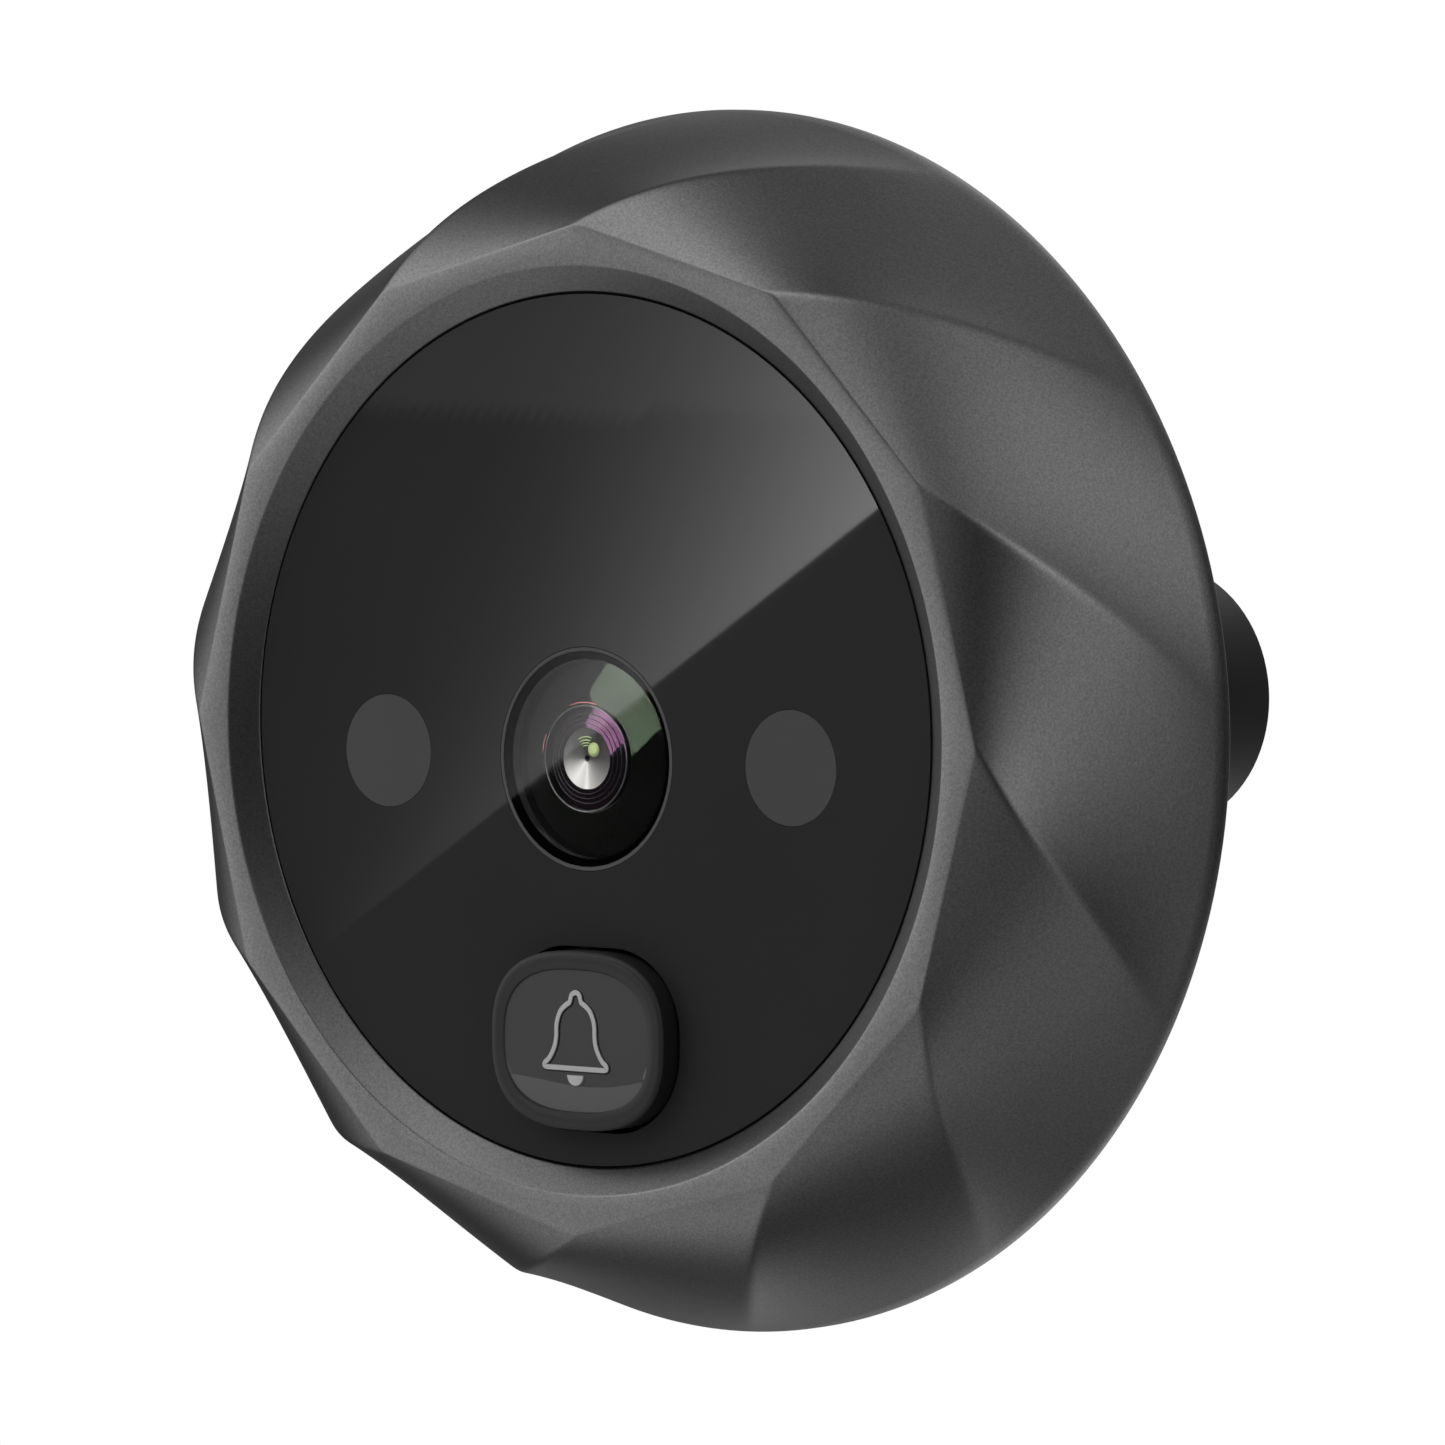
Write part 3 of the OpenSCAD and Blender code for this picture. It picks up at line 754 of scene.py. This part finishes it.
green_coat = coating("green_coat", (0.72, 1.0, 0.62), 0.05)
magenta_coat = coating("magenta_coat", (1.0, 0.36, 0.85), 0.12)
dress(outer_glass, green_coat)
dress(inner_glass, magenta_coat)
dress(lens_tube, finishes["lens_black"])
ring_metal = finish("ring_metal", grey(0.14), grey(0.2), (0.3, 0.4), metallic=1.0)
dim_metal = finish("dim_metal", grey(0.03), grey(0.05), (0.3, 0.4), metallic=1.0)
# The rose and lime colours of these small metal pieces are painted reflections of coloured lens glints.
rose_painted_glint = finish("rose_painted_glint", (0.6, 0.2, 0.19), (0.7, 0.26, 0.24), (0.3, 0.4), metallic=1.0)
lime_painted_glint = finish("lime_painted_glint", (0.5, 0.62, 0.24), (0.58, 0.7, 0.3), (0.3, 0.4), metallic=1.0)
for bead_arc in rose_glints:
    dress(bead_arc, rose_painted_glint)
for bead_arc in lime_glints:
    dress(bead_arc, lime_painted_glint)
lime_painted_spot = finish("lime_painted_spot", (0.36, 0.44, 0.2), (0.42, 0.5, 0.24), (0.55, 0.65), metallic=0.7)
dress(lime_glints[-1], lime_painted_spot)
for ring, metal in zip(trim_rings, (ring_metal, dim_metal, dim_metal, dim_metal)):
    dress(ring, metal)

iris_highlight_paint = finish("iris_painted_sweep", grey(0.1), grey(0.2), (0.3, 0.42), metallic=0.9)
tree = iris_highlight_paint.node_tree
place = tree.nodes.new("ShaderNodeTexCoord")
to_axis = tree.nodes.new("ShaderNodeMapping")
to_axis.inputs["Location"].default_value = (0.0, 0.0, 0.0)
to_axis.inputs["Rotation"].default_value = (math.radians(90), 0.0, 0.0)
shift = tree.nodes.new("ShaderNodeVectorMath")
shift.operation = "SUBTRACT"
shift.inputs[1].default_value = (INNER_X * MM, 0.0, LENS_Z * MM)
link(tree, place, "Object", shift, 0)
link(tree, shift, "Vector", to_axis, "Vector")
sweep = tree.nodes.new("ShaderNodeTexGradient")
sweep.gradient_type = "RADIAL"
link(tree, to_axis, "Vector", sweep, "Vector")
sheen = tree.nodes.new("ShaderNodeValToRGB")
# Grey of the painted highlight at each share of the turn round the lens axis
stops = [
    (0.0, 0.08), (0.06, 0.05), (0.13, 0.035), (0.25, 0.03), (0.4, 0.03), (0.5, 0.05), (0.58, 0.12),
    (0.66, 0.2), (0.72, 0.32), (0.75, 0.55), (0.78, 0.4), (0.85, 0.5), (0.93, 0.25), (1.0, 0.08),
]
ramp = sheen.color_ramp
for position, value in stops[1:-1]:
    ramp.elements.new(position).color = (value * 1.02, value, value * 0.97, 1.0)
for element, (_, value) in ((ramp.elements[0], stops[0]), (ramp.elements[-1], stops[-1])):
    element.color = (value * 1.02, value, value * 0.97, 1.0)
link(tree, sweep, "Fac", sheen, "Fac")
link(tree, sheen, "Color", tree.nodes["Principled BSDF"], "Base Color")
dress(iris, iris_highlight_paint)

# %% [markdown]
# ## The studio
#
# A dark, satin object shows its shape only through what it reflects, so the studio matters as much
# as the finish. Broad soft lights stand round it like the window, walls and ceiling of a room. Each
# has a direction, with its azimuth (0 is in front, 90 is to the right) and its elevation, a spread,
# which is how far from its middle it has faded to a half, and a strength. They are soft spots in
# the World instead of Area lights, because a spot without an edge leaves no hard shape in the coat.

# %% Soft lights in the World
# azimuth, elevation and spread in degrees, then strength
SOFT_LIGHTS = {
    "window": (-50, 15, 28, 1.15),
    "window sill": (-50, -50, 22, 0.45),
    "ceiling": (-15, 55, 22, 0.75),
    "rear ceiling": (160, 65, 18, 0.2),
    "right wall": (90, 30, 20, 0.95),
    "right wall, low": (85, -5, 16, 0.35),
    "floor": (10, -45, 25, 0.25),
    "right floor": (100, -45, 20, 0.3),
    "rear wall": (-165, 25, 20, 0.8),
    "rear floor": (-170, -30, 20, 0.8),
}

world = bpy.data.worlds.new("studio")
world.use_nodes = True
sky = world.node_tree
background = sky.nodes["Background"]
background.inputs["Color"].default_value = (1.0, 1.0, 1.0, 1.0)
toward = sky.nodes.new("ShaderNodeTexCoord")
total = None
for azimuth, elevation, spread, strength in SOFT_LIGHTS.values():
    sharpness = math.log(2) / (1 - math.cos(math.radians(spread)))
    a, e = math.radians(azimuth), math.radians(elevation)
    facing = sky.nodes.new("ShaderNodeVectorMath")
    facing.operation = "DOT_PRODUCT"
    facing.inputs[1].default_value = (
        math.sin(a) * math.cos(e), -math.cos(a) * math.cos(e), math.sin(e)
    )
    sky.links.new(toward.outputs["Generated"], facing.inputs[0])
    exponent = sky.nodes.new("ShaderNodeMath")
    exponent.operation = "MULTIPLY_ADD"
    exponent.inputs[1].default_value = sharpness
    exponent.inputs[2].default_value = math.log(strength) - sharpness
    sky.links.new(facing.outputs["Value"], exponent.inputs[0])
    spot = sky.nodes.new("ShaderNodeMath")
    spot.operation = "EXPONENT"
    sky.links.new(exponent.outputs[0], spot.inputs[0])
    if total is None:
        total = spot
    else:
        both = sky.nodes.new("ShaderNodeMath")
        both.operation = "ADD"
        sky.links.new(total.outputs[0], both.inputs[0])
        sky.links.new(spot.outputs[0], both.inputs[1])
        total = both
sky.links.new(total.outputs[0], background.inputs["Strength"])
bpy.context.scene.world = world
bpy.context.scene.view_settings.view_transform = "Standard"
print("soft lights", len(SOFT_LIGHTS))

# %% [markdown]
# ## The floor
#
# The object hangs over a pale floor that curves up into a wall, a seamless sweep, so no horizon
# shows from any side. It is turned like a bowl. Only the camera sees it, so that it can be as
# pale as it should be and still leave the light on the object to the soft lights.

# %% Pale sweep
def emitter(name, colour, strength):
    material = bpy.data.materials.new(name)
    material.use_nodes = True
    nodes = material.node_tree.nodes
    nodes.clear()
    glow = nodes.new("ShaderNodeEmission")
    glow.inputs["Color"].default_value = (*colour, 1.0)
    glow.inputs["Strength"].default_value = strength
    surface = nodes.new("ShaderNodeOutputMaterial")
    material.node_tree.links.new(glow.outputs[0], surface.inputs["Surface"])
    return material


def stage_mesh(name, points, faces, material):
    mesh = bpy.data.meshes.new(name)
    mesh.from_pydata(points, [], faces)
    mesh.shade_smooth()
    mesh.materials.append(material)
    item = bpy.data.objects.new(name, mesh)
    bpy.context.scene.collection.objects.link(item)
    return item


FLOOR_Z = -0.075
bowl = [(0.001, FLOOR_Z), (1.2, FLOOR_Z)]
bowl += [(1.2 + math.sin(t) * 0.8, FLOOR_Z + 0.8 - math.cos(t) * 0.8) for t in
         (math.radians(d) for d in range(6, 91, 6))]
bowl += [(2.0, 2.2)]
SECTORS = 96
bowl_points = [
    (r * math.cos(2 * math.pi * c / SECTORS), r * math.sin(2 * math.pi * c / SECTORS), z)
    for r, z in bowl for c in range(SECTORS)
]
bowl_faces = [
    (i * SECTORS + c, i * SECTORS + (c + 1) % SECTORS, (i + 1) * SECTORS + (c + 1) % SECTORS,
     (i + 1) * SECTORS + c)
    for i in range(len(bowl) - 1) for c in range(SECTORS)
]
sweep = stage_mesh("pale_sweep", bowl_points, bowl_faces, emitter("pale_floor", (1, 1, 1), 1.0))
for ray in ("visible_diffuse", "visible_glossy", "visible_transmission", "visible_shadow"):
    setattr(sweep, ray, False)

# %% [markdown]
# ## A flag and a card for the polished panel
#
# A polished panel mirrors a small patch of the studio, a few degrees wide, so what stands there is
# chosen. Here a black flag keeps the panel dark, and a card with a straight lower edge and a glow
# that grows to one side draws the slanting sheen across it. To place them, the camera is mirrored
# in the panel, and each corner lies on the ray from that mirrored point through the spot of the
# panel where it should show.

# %% Mirror the camera in the panel
PANEL_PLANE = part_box("front_panel")[0].y
mirrored = camera.location.copy()
mirrored.y = 2 * PANEL_PLANE - mirrored.y


def seen_at(x, z, depth):
    """The point of the plane y = depth that shows in the panel at x, z (in millimetres)."""
    spot = Vector((x * MM, PANEL_PLANE, z * MM))
    return mirrored + (spot - mirrored) * ((depth - mirrored.y) / (PANEL_PLANE - mirrored.y))


FLAG_DEPTH = -0.5
CARD_DEPTH = -0.495
flag_corners = [(-30, -24), (30, -24), (30, 34), (-30, 34)]
flag = stage_mesh(
    "black_flag",
    [seen_at(x, z, FLAG_DEPTH) for x, z in flag_corners],
    [(0, 1, 2, 3)],
    emitter("flag_cloth", (1, 1, 1), 0.02),
)
flag.visible_camera = False

# %% Sheen card
SHEEN_ACROSS = [-30 + 0.75 * i for i in range(77)]
SHEEN_UP = [0.5 * i for i in range(91)]
# The glow along the card's edge climbs evenly at first and then ever faster, to the right
EDGE_GLOW_EVEN = 1.4
EDGE_GLOW_RISE = 1.9
BAND_FROM = 14.5
BAND_GLOW = 0.24
# The card's edge runs through these two places of the panel (millimetres)
EDGE_START_X, EDGE_START_Z = -15.8, -10.5
EDGE_END_X, EDGE_END_Z = 16.6, 10.2
EDGE_SLOPE = (EDGE_END_Z - EDGE_START_Z) / (EDGE_END_X - EDGE_START_X)
GLOW_FROM = -17.0
GLOW_SPAN = 34.0
# Above the edge the glow fades over this far, which grows to the right
FADE_LEFT = 3.8
FADE_GROWTH = 17.5


def edge_z(x):
    return EDGE_START_Z + (x - EDGE_START_X) * EDGE_SLOPE


def sheen(x, z):
    """Glow of the card at the place that shows at x, z: brightest at its edge, to the right."""
    along = max(0.0, (x - GLOW_FROM) / GLOW_SPAN)
    glow = EDGE_GLOW_EVEN * along + EDGE_GLOW_RISE * along**3
    glow *= math.exp(-(z - edge_z(x)) / (FADE_LEFT + FADE_GROWTH * along**1.5))
    return glow + (BAND_GLOW if z > BAND_FROM else 0.0)


card_points, card_glow = [], []
for x in SHEEN_ACROSS:
    for u in SHEEN_UP:
        z = edge_z(x) + u
        card_points.append(seen_at(x, z, CARD_DEPTH))
        card_glow.append(sheen(x, z))
n_up = len(SHEEN_UP)
card_faces = [
    (i * n_up + j, (i + 1) * n_up + j, (i + 1) * n_up + j + 1, i * n_up + j + 1)
    for i in range(len(SHEEN_ACROSS) - 1) for j in range(n_up - 1)
]
card_light = emitter("sheen_card", (1, 1, 1), 1.0)
card = stage_mesh("sheen_card", card_points, card_faces, card_light)
glow_layer = card.data.color_attributes.new("glow", "FLOAT_COLOR", "POINT")
for datum, value in zip(glow_layer.data, card_glow):
    datum.color = (value, value, value, 1.0)
glow_node = card_light.node_tree.nodes.new("ShaderNodeVertexColor")
glow_node.layer_name = "glow"
card_light.node_tree.links.new(
    glow_node.outputs["Color"], card_light.node_tree.nodes["Emission"].inputs["Strength"]
)
card.visible_camera = False
print("sheen card glow up to", round(max(card_glow), 2))

# %% [markdown]
# ## A softbox for the lens coatings
#
# The coated glasses reflect very little, so their glints need a brighter softbox than the rest of
# the studio. It is linked to the lens alone, with Blender's light linking, so it leaves the coat
# and the panel as they are. Its corners are found in the same way as the flag's: each lies where
# the camera would see it mirrored in the outer glass, which is part of a ball round the lens axis.

# %% Lens softbox
GLINT_DISTANCE = 0.45


def seen_in_glass(x, z, radius=OUTER_RADIUS):
    """A point of the studio that shows in the outer glass at x, z (millimetres from its axis)."""
    spot = Vector((x * MM, LENS_Y * MM, (LENS_Z + z) * MM))
    normal = Vector((x / radius, -math.sqrt(1 - (x * x + z * z) / radius**2), z / radius))
    view = (camera.location - spot).normalized()
    return spot + (2 * normal.dot(view) * normal - view) * GLINT_DISTANCE


glint_corners = [(-0.1, 3.0), (2.4, 0.05), (5.6, 2.9), (2.2, 5.9)]
softbox = stage_mesh(
    "lens_softbox",
    [seen_in_glass(x, z) for x, z in glint_corners],
    [(0, 1, 2, 3)],
    emitter("softbox_cloth", (1, 1, 1), 28.0),
)
softbox.visible_camera = False
lens_only = bpy.data.collections.new("lens_only")
for item in (outer_glass, inner_glass, frame["nodes"]["lens_window"], *trim_rings):
    lens_only.objects.link(item)
softbox.light_linking.receiver_collection = lens_only
print("softbox corners", [[round(c, 3) for c in seen_in_glass(x, z)] for x, z in glint_corners])
